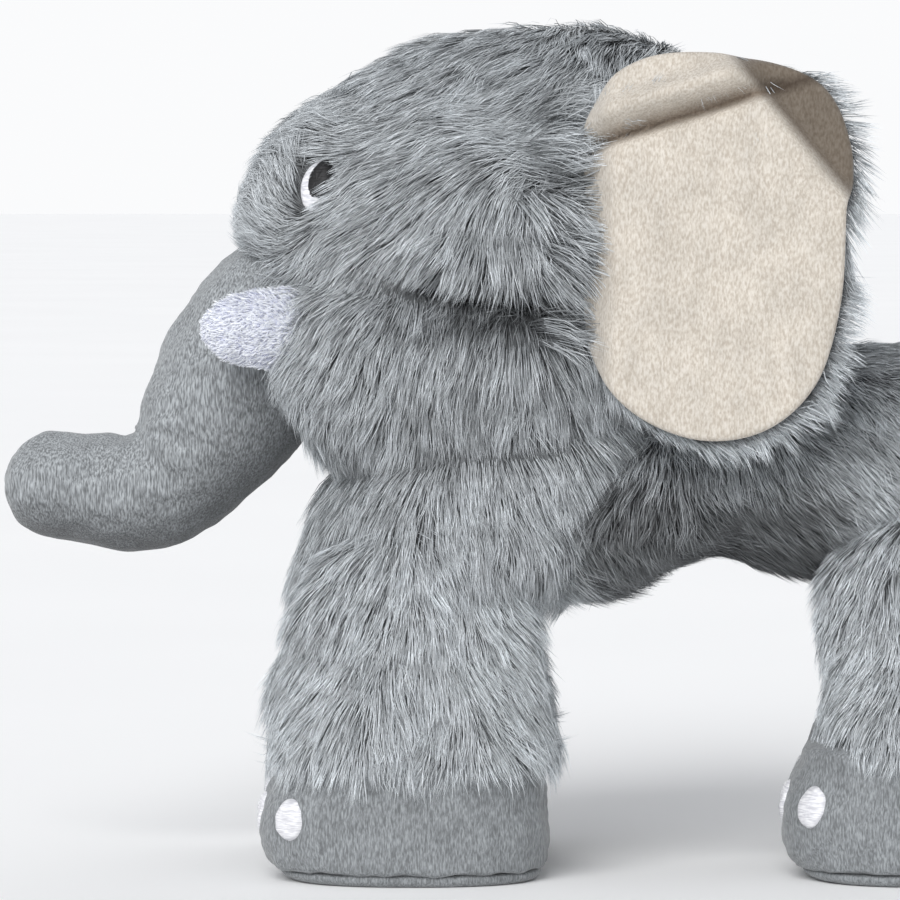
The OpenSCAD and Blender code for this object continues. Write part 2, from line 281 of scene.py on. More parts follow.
def satin(name, dark, light, thread=0.45, turn=0.0, rough=0.35):
    """Satin stitch: parallel shiny threads."""
    made, tree, shader = new_material(name)
    place = tree.nodes.new("ShaderNodeTexCoord").outputs["Object"]
    threads = noise(tree, place, thread, 1, (8, 8, 1), (0, turn, 0))
    colour = ramp(tree, threads, [(0.35, dark), (0.65, light)])
    tree.links.new(colour, shader.inputs["Base Color"])
    bump = tree.nodes.new("ShaderNodeBump")
    bump.inputs["Distance"].default_value = 0.25 * MM
    tree.links.new(threads, bump.inputs["Height"])
    tree.links.new(bump.outputs["Normal"], shader.inputs["Normal"])
    shader.inputs["Roughness"].default_value = rough
    return made


def strand_tints(name, levels, rough=0.42):
    """One material for each level of a strand, from its root to its tip, and each tint of the level."""
    made = []
    for level, tints in enumerate(levels):
        for tint, colour in enumerate(tints):
            strand, _, shader = new_material(f"{name}_{level}_{tint}")
            shader.inputs["Base Color"].default_value = (*colour, 1)
            shader.inputs["Roughness"].default_value = rough
            shader.inputs["Specular IOR Level"].default_value = 0.45
            made.append(strand)
    return made


def grey(value, cool=0.0):
    """A grey of that linear brightness, bluer with more cool."""
    return (value * (1 - 0.6 * cool), value * (1 - 0.05 * cool), value * (1 + 0.35 * cool))


BACKING = fabric("fur_backing", grey(0.05, 0.1), grey(0.09, 0.1), grey(0.14, 0.1), 0.8, 3.0)
TRUNK_CLOTH = fabric("trunk_velour", grey(0.16, 0.1), grey(0.31, 0.1), grey(0.50, 0.1), 0.55, 6.0)
# Painted shade on the undersides of the trunk and tail velour
paint_shade_below(TRUNK_CLOTH, 0.3)
FOOT_CLOTH = fabric("foot_velour", grey(0.17, 0.1), grey(0.26, 0.1), grey(0.38, 0.1), 0.55, 4.5)
EAR_CLOTH = fabric(
    "ear_velour", (0.50, 0.44, 0.37), (0.61, 0.555, 0.48), (0.71, 0.66, 0.59), 0.7, 2.5, depth=0.4,
)
TUSK_CLOTH = fabric("tusk_plush", (0.86, 0.87, 0.93), (0.92, 0.93, 0.97), (0.96, 0.97, 1.0), 0.7, 2.0)
WHITE_THREAD = satin("white_thread", (0.62, 0.62, 0.66), (0.92, 0.92, 0.94))
BLACK_THREAD = satin("black_thread", (0.0015, 0.0015, 0.002), (0.012, 0.012, 0.014), turn=0.6, rough=0.55)

# How light each tint of the fur is, from the darkest, which paint shade, to the palest
SHADES = (0.22, 0.42, 0.72, 0.95, 1.15, 1.35)
FUR_TINTS = strand_tints(
    "fur_strand",
    [[grey(level * shade, 0.09) for shade in SHADES] for level in (0.19, 0.44, 0.66)],
)
WHITE_TINTS = strand_tints(
    "tusk_strand",
    [[(level - 0.04, level - 0.02, 1.0)] * len(SHADES) for level in (0.9, 0.95, 1.0)],
)

# ------------------------------------------------------------------ strands


def scatter(skin, density, rng):
    """Random places on a skin, about density to a square millimetre, with their normals."""
    mesh = skin.data
    mesh.calc_loop_triangles()
    corners = np.zeros(len(mesh.loop_triangles) * 3, int)
    mesh.loop_triangles.foreach_get("vertices", corners)
    corners = corners.reshape(-1, 3)
    points, normals = points_of(skin)
    a, b, c = (points[corners[:, k]] for k in range(3))
    area = np.linalg.norm(np.cross(b - a, c - a), axis=1) / 2
    chosen = rng.choice(len(corners), int(area.sum() * density), p=area / area.sum())
    u, v = rng.random(len(chosen)), rng.random(len(chosen))
    flip = u + v > 1
    u[flip], v[flip] = 1 - u[flip], 1 - v[flip]
    share = np.stack([1 - u - v, u, v], 1)[:, :, None]
    place = (points[corners[chosen]] * share).sum(1)
    facing = unit((normals[corners[chosen]] * share).sum(1))
    return place, facing


def combed(anchors, place):
    """The way the pile is brushed at each place, between given ways.

    Each of them is a place (x, y on either side, z) and a way (dx, dy outwards, dz).
    """
    side = np.where(place[:, 1] < 0, -1.0, 1.0)
    spots = np.array([a[0] for a in anchors], float)
    ways = unit(np.array([a[1] for a in anchors], float))
    here = np.stack([place[:, 0], np.abs(place[:, 1]), place[:, 2]], 1)
    apart = ((here[:, None] - spots[None]) ** 2).sum(2)
    share = 1 / (apart + 60) ** 2
    way = (share[:, :, None] * ways[None]).sum(1) / share.sum(1)[:, None]
    way[:, 1] *= side
    return way


def clumps_of(place, per_clump, rng):
    """For each place, the number of the nearest of a random few of the places."""
    chosen = rng.choice(len(place), max(len(place) // per_clump, 1), replace=False)
    tree = KDTree(len(chosen))
    for k, root in enumerate(chosen):
        tree.insert(place[root], k)
    tree.balance()
    return chosen, np.array([tree.find(p)[1] for p in place])


def grow(name, skin, ride_on, way_at, length, seed, tints=FUR_TINTS, keep=None, density=STRANDS_PER_MM2,
         lift=0.52, droop=0.12, clump=0.5, per_clump=16, width=STRAND_WIDTH, stray=0.12,
         tone=everywhere(3.0)):
    """Grows tapered strands of pile on a skin, in as many pieces as they need, which ride on a body."""
    rng = np.random.default_rng(seed)
    place, facing = scatter(skin, density, rng)
    if keep is not None:
        kept = keep(place, facing)
        place, facing = place[kept], facing[kept]
    count = len(place)
    way = way_at(place) + 0.22 * np.stack([wander(place, 34, seed + k) for k in range(3)], 1)
    way += stray * rng.normal(size=(count, 3))
    way -= facing * (way * facing).sum(1)[:, None]
    way = unit(way)
    guides, clump_of = clumps_of(place, per_clump, rng)
    size = length(place) * (0.72 + 0.36 * rng.random(count))
    size = size * (0.9 + 0.2 * rng.random(len(guides)))[clump_of]
    rise = lift * (0.75 + 0.5 * rng.random(count)) * (0.8 + 0.4 * rng.random(len(guides)))[clump_of]
    sideways = np.cross(facing, way)
    curl = 0.14 * rng.normal(size=count)
    line = np.zeros((count, len(STRAND_STEPS), 3))
    for k, s in enumerate(STRAND_STEPS):
        out = facing * (size * rise * (s - 0.5 * s * s))[:, None]
        on = way * (size * s)[:, None]
        aside = sideways * (size * curl * s * s)[:, None]
        line[:, k] = place + out + on + aside
        line[:, k, 2] -= droop * size * s * s
    tight = (clump * (0.6 + 0.6 * rng.random(len(guides))))[clump_of]
    leader = line[guides][clump_of]
    for k, s in enumerate(STRAND_STEPS):
        line[:, k] += (leader[:, k] - line[:, k]) * (tight * s**1.3)[:, None]
    roll = rng.normal(0, 0.7, count)
    mixed = tone(place) + rng.uniform(-1.0, 1.0, len(guides))[clump_of] + rng.uniform(-0.9, 0.9, count)
    tint = np.clip(np.round(mixed), 0, len(SHADES) - 1).astype(int)
    weave(name, line, facing, roll, tint, width * (0.7 + 0.6 * rng.random(count)), tints, ride_on)


def hold(piece, body):
    """The piece rides on a body, or stays where it is made when two are given as (body, body, start, end)."""
    if isinstance(body, str):
        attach(piece, body)
    else:
        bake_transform(piece)


def weave(name, line, facing, roll, tint, width, tints, ride_on):
    """Makes ribbons of strands out of their centre lines."""
    steps = line.shape[1]
    for part, start in enumerate(range(0, len(line), STRANDS_PER_PIECE)):
        rows = slice(start, start + STRANDS_PER_PIECE)
        path, out = line[rows], facing[rows]
        count = len(path)
        ahead = unit(path[:, -1] - path[:, 0])
        flat = unit(np.cross(ahead, out))
        up = np.cross(flat, ahead)
        turn = roll[rows][:, None]
        blade = flat * np.cos(turn) + up * np.sin(turn)
        half = blade[:, None] * (width[rows][:, None] * STRAND_TAPER[None, :-1] / 2)[:, :, None]
        sides = np.stack([path[:, :-1] - half, path[:, :-1] + half], 2).reshape(count, -1, 3)
        points = np.concatenate([sides, path[:, -1:]], 1)
        per = points.shape[1]
        base = (np.arange(count) * per)[:, None]
        quads = [base + np.array([2 * k, 2 * k + 1, 2 * k + 3, 2 * k + 2]) for k in range(steps - 2)]
        tip = base + np.array([per - 3, per - 2, per - 1])
        corners = np.concatenate(quads + [tip], 1).ravel()
        sizes = np.tile([4] * (steps - 2) + [3], count)
        levels = tint[rows][:, None] + len(SHADES) * np.arange(steps - 1)[None]
        mesh = bpy.data.meshes.new(f"{name}_{part + 1}")
        mesh.vertices.add(count * per)
        mesh.vertices.foreach_set("co", (points * MM).ravel())
        mesh.loops.add(len(corners))
        mesh.loops.foreach_set("vertex_index", corners.astype(np.int32))
        mesh.polygons.add(len(sizes))
        mesh.polygons.foreach_set("loop_start", np.concatenate([[0], np.cumsum(sizes)[:-1]]).astype(np.int32))
        for strand in tints:
            mesh.materials.append(strand)
        mesh.polygons.foreach_set("material_index", levels.ravel().astype(np.int32))
        mesh.update(calc_edges=True)
        mesh.shade_smooth()
        piece = bpy.data.objects.new(f"{name}_{part + 1}", mesh)
        bpy.context.scene.collection.objects.link(piece)
        hold(piece, ride_on)


# ------------------------------------------------------------------ head

# Height, front, back, half width
HEAD = [
    [126, -50, 4, 34], [131, -68, 22, 51], [146, -81, 36, 60], [168, -87, 50, 63], [187, -93, 60, 61],
    [195, -92, 66, 60], [204, -97, 71, 60], [220, -106, 78, 61], [238, -102, 82, 58], [256, -88, 80, 51],
    [272, -68, 70, 41], [284, -46, 52, 28], [291, -24, 28, 13], [293, -14, 14, 5],
]


def upright(rows, inset, per=8, power=2.4, sides=96):
    """A skin through level rings, each a height, a front, a back and an inner and outer side.

    The power, which squares the rings off, may be a function of the height.
    """
    low, high = rows[0][0], rows[-1][0]
    made = spline(rows, per)
    z = (low + high) / 2 + (made[:, 0] - (low + high) / 2) * (1 - 2 * inset / (high - low))
    half_x = np.maximum((made[:, 2] - made[:, 1]) / 2 - inset, 0.8)
    half_y = np.maximum((made[:, 4] - made[:, 3]) / 2 - inset, 0.8)
    nought = np.zeros_like(z)
    if callable(power):
        power = power(z)[:, None]
    centres = np.stack([(made[:, 1] + made[:, 2]) / 2, (made[:, 3] + made[:, 4]) / 2, z], 1)
    across = np.stack([half_x, nought, nought], 1)
    along = np.stack([nought, half_y, nought], 1)
    return loft(centres, across, along, power, sides)


head_rows = [[z, front, back, -half, half] for z, front, back, half in HEAD]
head_form = upright(head_rows, UNDER_FUR, power=lambda z: 2.6 + 1.6 * hump(z - 168, 24))
head_skin = make("head_skin", *head_form, BACKING)


def crease_height(x):
    """Where the crease runs across the cheek."""
    return 202 - 0.14 * (x + 39)


def cheek_shape(p, n):
    """The crease across the cheek, the fullness by the tusk and the parting by the forehead."""
    side = ease(22, 44, np.abs(p[:, 1]))
    above = p[:, 2] - crease_height(p[:, 0])
    along = ease(-48, -22, p[:, 0]) * ease(70, 40, p[:, 0])
    folded = -13.0 * hump(above + 1, 5.0) + 6.0 * hump(above - 12, 8) + 2.0 * hump(above + 18, 12)
    full = 9.0 * ease(-35, -62, p[:, 0]) * ease(24, 40, np.abs(p[:, 1])) * hump(p[:, 2] - 186, 24)
    parting = -2.5 * hump(p[:, 0] + 84 + 0.25 * (p[:, 2] - 235), 4) * ease(205, 222, p[:, 2])
    return side * (folded * along + parting) + full + 0.8 * wander(p, 45, 3)


press(head_skin, cheek_shape)

HEAD_WAYS = [
    ((-88, 5, 262), (-0.7, 0, 0.7)), ((-102, 10, 240), (-0.6, 0, 0.75)), ((-104, 15, 222), (-0.8, 0, 0.1)),
    ((-98, 20, 208), (-0.7, 0, -0.7)), ((-92, 38, 240), (-0.45, 0.2, 0.8)), ((-92, 38, 218), (-0.6, 0, 0.6)),
    ((-84, 44, 240), (-0.4, 0, 0.8)),
    ((-72, 50, 240), (-1, 0, -0.12)), ((-50, 56, 245), (-1, 0, -0.1)), ((-54, 58, 230), (-0.95, 0, -0.35)),
    ((-20, 60, 250), (-0.9, 0, -0.2)), ((10, 58, 250), (-0.9, 0, -0.1)), ((-30, 60, 226), (-0.6, 0, -0.7)),
    ((-10, 61, 226), (-0.15, 0, -0.95)), ((8, 61, 224), (0.5, 0, -0.8)), ((14, 60, 208), (0.75, 0, -0.6)),
    ((14, 60, 192), (0.7, 0, -0.7)), ((12, 60, 240), (-0.5, 0, 0.4)), ((-70, 56, 212), (-0.78, 0, -0.6)),
    ((-45, 60, 208), (-0.55, 0, -0.8)), ((-15, 60, 206), (-0.15, 0, -0.95)),
    ((-84, 48, 196), (-0.7, 0, -0.7)), ((-70, 55, 185), (-0.5, 0, -0.85)),
    ((-45, 60, 178), (-0.25, 0, -0.95)),
    ((-10, 60, 172), (-0.03, 0, -1)), ((30, 55, 178), (0.2, 0, -0.95)), ((60, 30, 200), (0.3, 0, -0.9)),
    ((-80, 20, 160), (-0.5, 0, -0.85)), ((-40, 20, 140), (0.1, 0.3, -0.9)), ((-70, 0, 278), (-0.8, 0.2, 0.3)),
    ((-30, 10, 290), (-0.9, 0.5, 0)), ((-20, 40, 275), (-0.7, 0.4, -0.3)), ((30, 10, 285), (-0.2, 0.6, 0)),
    ((60, 20, 265), (0.3, 0.2, -0.9)), ((78, 20, 235), (0.1, 0.1, -1)),
]


def head_way(p):
    return combed(HEAD_WAYS, p)


def eye_apart(p):
    """How far a place is from the middle of the eye on its side of the head, as a share of the eye's size."""
    across = (p[:, 0] - EYE[0]) * math.cos(EYE_TURN) + (np.abs(p[:, 1]) - EYE_OUT) * math.sin(EYE_TURN)
    return np.where(np.abs(p[:, 1]) > 25, np.hypot(across / 6.5, (p[:, 2] - EYE[1]) / 9.5), 99)


def keep_head(p, n):
    """No pile over the eyes, where the trunk and tusks come out, or where the neck goes in."""
    eye = (eye_apart(p) < 1.05) | (eye_apart(p + 9 * head_way(p)) < 0.6)
    trunk = (np.hypot(p[:, 0] - TRUNK_ROOT[0], p[:, 2] - TRUNK_ROOT[2] + 6) < 24) & (np.abs(p[:, 1]) < 22)
    tusk = (np.hypot(np.abs(p[:, 1]) - TUSK_ROOT[1], p[:, 2] - TUSK_ROOT[2]) < 8) & (p[:, 0] < -60)
    under = (p[:, 2] < 152) & (np.abs(p[:, 1]) < 30) & (p[:, 0] > -45)
    return ~(eye | trunk | tusk | under)


def head_length(p):
    short = 6 * ease(-82, -98, p[:, 0]) * ease(205, 215, p[:, 2]) + 8 * hump(eye_apart(p), 2.0)
    return 18 - short


def head_tone_and_shade(p):
    """Paler over the forehead, with painted shade that makes it darker in the crease and low on the cheek."""
    crease = hump(p[:, 2] - crease_height(p[:, 0]) + 4, 6) * ease(-48, -22, p[:, 0])
    forehead = ease(-70, -95, p[:, 0]) * ease(200, 215, p[:, 2])
    return 3.1 + 0.5 * forehead - 3.2 * crease - 0.8 * ease(190, 150, p[:, 2])


def by_the_ear(p, n):
    """The strip of the head in front of an ear."""
    start = -4 + 4 * wander(p, 16, 9)
    return (p[:, 0] > start) & (p[:, 0] < 16) & (p[:, 2] > 180) & (p[:, 2] < 274) & (np.abs(p[:, 1]) > 38)


def ear_fringe_way(p):
    """The pile in front of an ear stands up and falls over the ear's front edge."""
    way = head_way(p) * 0.5
    way[:, 0] += 0.8
    return way


grow("head_fur", head_skin, "head", head_way, head_length, 11, keep=keep_head, tone=head_tone_and_shade)
grow("ear_fringe", head_skin, "head", ear_fringe_way, everywhere(22.0), 13, keep=by_the_ear,
     lift=1.3, density=1.0, tone=head_tone_and_shade)
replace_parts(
    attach(head_skin, "head"), "cheek_left", "cheek_right", "bridge_panel", "chin_panel", "head_fill",
)

# ------------------------------------------------------------------ torso

# Distance along it, bottom, top, half width
TORSO = [
    [-72, 98, 114, 10], [-63, 92, 122, 18], [-48, 89, 127, 23], [-18, 88, 129, 26], [2, 89, 132, 50],
    [20, 91, 146, 58], [40, 99, 160, 59], [60, 104, 168, 58], [85, 99, 177, 60], [110, 95, 180, 61],
    [135, 97, 179, 58], [155, 106, 171, 48], [167, 119, 157, 30], [172, 131, 146, 12],
]


def lengthwise(rows, inset, per=8):
    """A skin through upright rings, each a distance along the toy, a bottom, a top and a half width."""
    low, high = rows[0][0], rows[-1][0]
    made = spline(rows, per)
    x = (low + high) / 2 + (made[:, 0] - (low + high) / 2) * (1 - 2 * inset / (high - low))
    nought = np.zeros_like(x)
    half_z = np.maximum((made[:, 2] - made[:, 1]) / 2 - inset, 0.8)
    half_y = np.maximum(made[:, 3] - inset, 0.8)
    centres = np.stack([x, nought, (made[:, 1] + made[:, 2]) / 2], 1)
    return loft(centres, np.stack([nought, half_y, nought], 1), np.stack([nought, nought, half_z], 1))


torso_skin = make("torso_skin", *lengthwise(TORSO, UNDER_FUR - 1), BACKING)
press(torso_skin, lambda p, n: 1.0 * wander(p, 50, 8))

TORSO_WAYS = [
    ((100, 0, 180), (1, 0.1, 0)), ((60, 0, 168), (1, 0.2, 0)), ((150, 0, 172), (0.8, 0, -0.6)),
    ((100, 55, 160), (0.75, 0.1, -0.65)), ((60, 57, 145), (0.4, 0.2, -0.7)),
    ((30, 57, 135), (-0.3, 0.3, -0.7)),
    ((60, 57, 120), (0.7, 0, -0.6)), ((30, 57, 110), (0.6, 0, -0.8)), ((90, 57, 120), (0.8, 0, -0.5)),
    ((130, 55, 150), (0.5, 0, -0.85)), ((150, 45, 130), (0.3, 0, -0.95)), ((170, 0, 140), (0.2, 0, -1)),
    ((60, 20, 107), (0.95, 0, -0.2)), ((100, 20, 100), (0.95, 0, -0.1)), ((-60, 10, 110), (-0.5, 0, -0.8)),
    ((-20, 20, 90), (0.9, 0, -0.2)), ((0, 40, 100), (0.6, 0.3, -0.7)),
]


def keep_torso(p, n):
    """No pile behind the tops of the legs, or inside the neck."""
    near_front = np.hypot(p[:, 0] - SHOULDER[0], p[:, 2] - SHOULDER[2]) < 40
    near_hind = np.hypot(p[:, 0] - HIP[0] - 3, p[:, 2] - HIP[2]) < 35
    under_head = (p[:, 0] < 0) & (p[:, 2] > 122)
    return ~(((near_front | near_hind) & (np.abs(p[:, 1]) > 20)) | under_head)


def torso_way(p):
    return combed(TORSO_WAYS, p)


def torso_painted_shade(p):
    """Painted shade: darkest under the ear, between the legs, where shade falls under the ear and head."""
    middle = ease(0, 20, p[:, 0]) * ease(104, 84, p[:, 0])
    return 3.0 - 2.9 * middle * ease(150, 128, p[:, 2])


grow("torso_fur", torso_skin, "torso", torso_way, everywhere(17.0), 21, keep=keep_torso, stray=0.22,
     tone=torso_painted_shade)
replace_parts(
    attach(torso_skin, "torso"), "torso_panel_left", "torso_panel_right", "belly_gusset", "torso_fill",
)

# ------------------------------------------------------------------ neck

# Height, front, back, half width. The fabric runs from the shoulders up into the head.
NECK = [
    [92, -76, 8, 52], [99, -79, 14, 60], [108, -77, 24, 62], [118, -73, 32, 62],
    [130, -68, 38, 59], [142, -60, 42, 55], [152, -54, 44, 50], [160, -48, 42, 42],
]
NECK_BEND = ("torso", "head", (0, 0, 0.122), (0, 0, 0.150))
neck_rows = [[z, front, back, -half, half] for z, front, back, half in NECK]
neck_skin = make("neck_skin", *upright(neck_rows, 0, per=6), BACKING)


def neck_way(p):
    return np.stack([(p[:, 0] + 30) / 60, p[:, 1] / 200, np.full(len(p), -1.0)], 1)


def keep_neck(p, n):
    return (p[:, 2] > 97) & (p[:, 2] < 146 + 12 * ease(0, 20, p[:, 0]))


grow("neck_fur", neck_skin, NECK_BEND, neck_way, everywhere(17.0), 27, keep=keep_neck, lift=0.5)
hold(neck_skin, NECK_BEND)

# ------------------------------------------------------------------ legs

LEG_IN, LEG_OUT = 26.0, 70.0


def leg_rows(hip, half, foot_height, reach):
    """Rings of a leg from a little inside its foot to its round top, for the right side."""
    rows = []
    for f in (-0.08, 0.0, 0.25, 0.5, 0.75):
        z = foot_height + (hip[2] - foot_height) * f
        inner, outer = LEG_IN - 15 * (1 - f), LEG_OUT + 9 * (1 - f)
        front, back = reach * ease(1.0, 0.5, f), 2.0 + 5.0 * ease(0.8, 0.0, f)
        rows.append([z, hip[0] - half - front, hip[0] + half + back, inner, outer])
    for b in np.radians([0, 12, 24, 36, 48, 60, 70, 80, 87]):
        c = max(math.cos(b), 0.06)
        z = hip[2] + half * math.sin(b)
        mid, wide = (LEG_IN + LEG_OUT) / 2, (LEG_OUT - LEG_IN) / 2 * math.sqrt(c)
        rows.append([z, hip[0] - half * c, hip[0] + half * c, mid - wide, mid + wide])
    return rows


def leg_way(hip):
    """The pile of a leg hangs down and fans out from the hip."""

    def way(p):
        spread = (p[:, 0] - hip[0]) / 42
        fan = spread * (0.55 + 0.45 * ease(30, hip[2], p[:, 2]))
        return np.stack([fan, 0.1 * np.sign(p[:, 1]), np.full(len(p), -1.0)], 1)

    return way


def make_leg(kind, word, side, hip, half, foot_height, seed):
    body = f"{kind}_leg_{word}"
    reach, pile = (6.0, 17.0) if kind == "front" else (-3.0, 15.0)
    form = upright(leg_rows(hip, half, foot_height, reach), UNDER_FUR, per=5, sides=80)
    skin = make(f"{kind}_leg_skin_{word}", *on_side(*form, side), BACKING)
    press(skin, lambda p, n: 1.0 * wander(p, 36, seed))

    def keep(p, n):
        hidden = (np.abs(p[:, 1]) < LEG_IN + 10) & (p[:, 2] > 82) & (n[:, 1] * side < 0.2)
        return ~(hidden | (p[:, 2] < foot_height + 1))

    # Painted light: the legs' pile takes paler tints than the body's, as the legs face the light
    grow(f"{kind}_leg_fur_{word}", skin, body, leg_way(hip), everywhere(pile), seed, keep=keep,
         tone=everywhere(3.7))
    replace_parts(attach(skin, body), f"{kind}_sleeve_{word}", f"{kind}_fill_{word}")


# Kind, pivot, half length, height of its foot and how far the right one stands behind the left one
LEGS = (("front", SHOULDER, 44.0, 42.0, 0.0), ("hind", HIP, 40.0, 46.0, HIND_STEP))
SOLE = 3.5
FOOT_Y, FOOT_HALF = 43.0, 31.5
TOE_REACH = 6.0
NAIL_DROP = 20.0
NAIL_TURNS = (-38, 0, 38)
NAIL_OVAL = (7.0, 5.5, 1.4)  # half its height, half its width and its crown


def foot_row(x, half, height, z, grow_by=0.0):
    """A level ring of a foot at height z, which bulges most at its toes."""
    bulge = TOE_REACH * math.sin(math.pi * min(max(z / height, 0), 1) ** 0.8)
    rx = half - 2 + bulge * 0.5 + grow_by
    ry = FOOT_HALF + bulge * 0.3 - 1 + grow_by
    return [z, x - bulge - rx, x - 0.2 * bulge + rx + 2, FOOT_Y - ry, FOOT_Y + ry]


def make_foot(kind, word, side, hip, half, height, seed):
    """A foot's cover, its sole and its three nails."""
    body = f"{kind}_leg_{word}"
    rows = [foot_row(hip[0], half, height, SOLE + 0.2, -3)]
    rows += [foot_row(hip[0], half, height, z) for z in np.linspace(SOLE + 1.5, height * 0.96, 9)]
    rows.append(foot_row(hip[0], half, height, height + 1, -9))
    rows.append(foot_row(hip[0], half, height, height + 1.5, -16))
    form = upright(rows, 0, per=5, sides=112)
    foot = make(f"{kind}_foot_cloth_{word}", *on_side(*form, side), FOOT_CLOTH)
    press(foot, lambda p, n: 0.5 * wander(p, 16, seed) + 0.25 * wander(p, 6, seed + 1))
    rows = [
        foot_row(hip[0], half, height, z, grow_by)
        for z, grow_by in ((0, -5), (0.2, -2.5), (1.2, -1.2), (2.6, -1.0), (3.6, -1.8), (4.2, -4))
    ]
    form = upright(rows, 0, per=3, sides=112)
    sole = make(f"{kind}_sole_cloth_{word}", *on_side(*form, side), FOOT_CLOTH)
    for piece, node in ((foot, f"{kind}_foot_{word}"), (sole, f"{kind}_sole_{word}")):
        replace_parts(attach(piece, body), node)
    tree = BVHTree.FromObject(foot, bpy.context.evaluated_depsgraph_get())
    mirror = np.array([1, side, 1])
    centre = np.array([hip[0] - 12, FOOT_Y, height - NAIL_DROP])
    nails = []
    for turn in np.radians(NAIL_TURNS):
        out = np.array([-math.cos(turn), -math.sin(turn), 0])
        nails.append(stitched(tree, centre * mirror, out * mirror, *NAIL_OVAL))
    nail = make(f"{kind}_nail_stitches_{word}", *joined(nails), WHITE_THREAD)
    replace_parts(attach(nail, body), f"{kind}_nails_{word}")


def joined(parts):
    """Points and faces of several skins as one."""
    points, faces, start = [], [], 0
    for p, f in parts:
        points.append(p)
        faces += [tuple(i + start for i in face) for face in f]
        start += len(p)
    return np.concatenate(points), faces


def stitched(tree, centre, out, half_up, half_across, height, inside=0.6, reach=90, rings=9, sides=40):
    """A domed oval of satin stitch on a surface, seen from centre along out. Sizes are half axes."""
    across = unit(np.cross([0, 0, 1], out))
    up = np.cross(out, across)
    made = []
    profile = [(q, height * math.sqrt(max(1 - q**4, 0))) for q in np.linspace(0.04, 1, rings)]
    for q, raised in [*profile, (1.0, -inside)]:
        row = []
        for k in range(sides):
            a = 2 * math.pi * k / sides
            aside, above = q * half_across * math.cos(a), q * half_up * math.sin(a)
            start = centre + across * aside + up * above + out * reach
            hit, _, _, _ = tree.ray_cast(Vector(start * MM), Vector(-out))
            spot = np.array(hit) / MM if hit is not None else start - out * reach
            thread = 0.12 * math.sin(above * 2 * math.pi / 0.8)
            row.append(spot + out * (raised + thread * (raised > 0)))
        made.append(row)
    return skin_of(np.array(made)[::-1])


for kind, hip, half, foot_height, step in LEGS:
    for n, (word, side) in enumerate(SIDES):
        seed = 31 + 10 * n + (5 if kind == "hind" else 0)
        placed = hip + np.array([step if side > 0 else 0, 0, 0])
        make_leg(kind, word, side, placed, half, foot_height, seed)
        make_foot(kind, word, side, placed, half, foot_height, seed)

# ------------------------------------------------------------------ trunk

# x, z, half thickness, half width
TRUNK = [
    [-88, 186, 29, 29], [-99, 169, 29.5, 28.5], [-109, 153, 27.5, 26.5], [-118, 140, 24, 24.5],
    [-127, 131.5, 22, 22], [-137, 128, 20.8, 20.5], [-149, 128, 19.5, 19], [-157, 129, 18.7, 18.2],
]
TRUNK_BEND = np.array([-138.0, 151.0])  # the middle that the folds of the bend fan out from
TRUNK += [
    [-165 - 17 * math.sin(a), 130.2 + 4 * math.sin(a), 18.2 * math.cos(a), 17.6 * math.cos(a)]
    for a in np.radians([0, 22, 40, 55, 68, 79, 87])
]


def trunk_skin():
    """A skin through rings square to the trunk's middle line, with a round end inside the head."""
    rows = spline(TRUNK, 10)
    ahead = unit(np.gradient(rows[:, :2], axis=0))
    x, z, half, _ = TRUNK[0]
    root = []
    for b in np.radians([86, 72, 58, 44, 30, 15]):
        inwards = half * math.sin(b)
        round_off = half * math.cos(b)
        root.append([x - ahead[0][0] * inwards, z - ahead[0][1] * inwards, round_off, round_off])
    rows = np.concatenate([root, rows])
    ahead = np.concatenate([np.repeat(ahead[:1], len(root), 0), ahead])
    nought = np.zeros(len(rows))
    centres = np.stack([rows[:, 0], nought, rows[:, 1]], 1)
    thick = np.stack([-ahead[:, 1] * rows[:, 2], nought, ahead[:, 0] * rows[:, 2]], 1)
    wide = np.stack([nought, rows[:, 3], nought], 1)
    return loft(centres, thick, wide, 2.1, 120)


trunk = make("trunk_cloth", *trunk_skin(), TRUNK_CLOTH)


def trunk_folds(p, n):
    """Soft folds fanned out from the sharp inner side of the bend, and a little slackness everywhere."""
    ahead, above = p[:, 0] - TRUNK_BEND[0], p[:, 2] - TRUNK_BEND[1]
    apart = np.hypot(ahead, above)
    bearing = np.arctan2(above, ahead)
    fan = np.sin(bearing * 9 + 1.0) * hump(apart - 14, 10)
    return 0.5 * fan - 1.5 * hump(apart, 6) + 0.5 * wander(p, 22, 5) + 0.2 * wander(p, 8, 6)


press(trunk, trunk_folds)
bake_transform(trunk)
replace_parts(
    trunk, "trunk_left", "trunk_right", "trunk_fill", "trunk_tip_left", "trunk_tip_right", "trunk_tip_fill",
)

# ------------------------------------------------------------------ tusks

TUSK_LENGTH, TUSK_RADIUS = 34.0, 12.0


def make_tusk(word, side):
    b = np.array([-0.35, -0.2, 0, 0.15, 0.3, 0.45, 0.58, 0.7, 0.8, 0.88, 0.94, 0.98, 1.0])
    radius = TUSK_RADIUS * (1 - np.maximum(b, 0) ** 3.2) ** 0.55 + 0.4
    turn = math.radians(172)
    ahead = np.array([math.cos(turn), math.sin(turn), 0.0])
    centres = TUSK_ROOT + ahead * (TUSK_LENGTH * b)[:, None]
    wide = np.array([-ahead[1], ahead[0], 0.0]) * radius[:, None]
    tall = np.array([0, 0, 1.0]) * radius[:, None]
    mirror = np.array([1, side, 1])
    points, faces = loft(centres * mirror, wide * mirror, tall, 2, 64)
    tusk = make(f"tusk_cloth_{word}", points, faces, TUSK_CLOTH)
    press(tusk, lambda p, n: 0.5 * wander(p, 9, 14) + 0.2 * wander(p, 4, 15))
    grow(f"tusk_pile_{word}", tusk, "head", everywhere(ahead * mirror), everywhere(3.0), 61, WHITE_TINTS,
         density=3.0, lift=1.3, droop=0.0, clump=0.35, per_clump=8, width=0.4, stray=0.5)
    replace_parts(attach(tusk, "head"), f"tusk_{word}")


for word, side in SIDES:
    make_tusk(word, side)

# ------------------------------------------------------------------ eyes

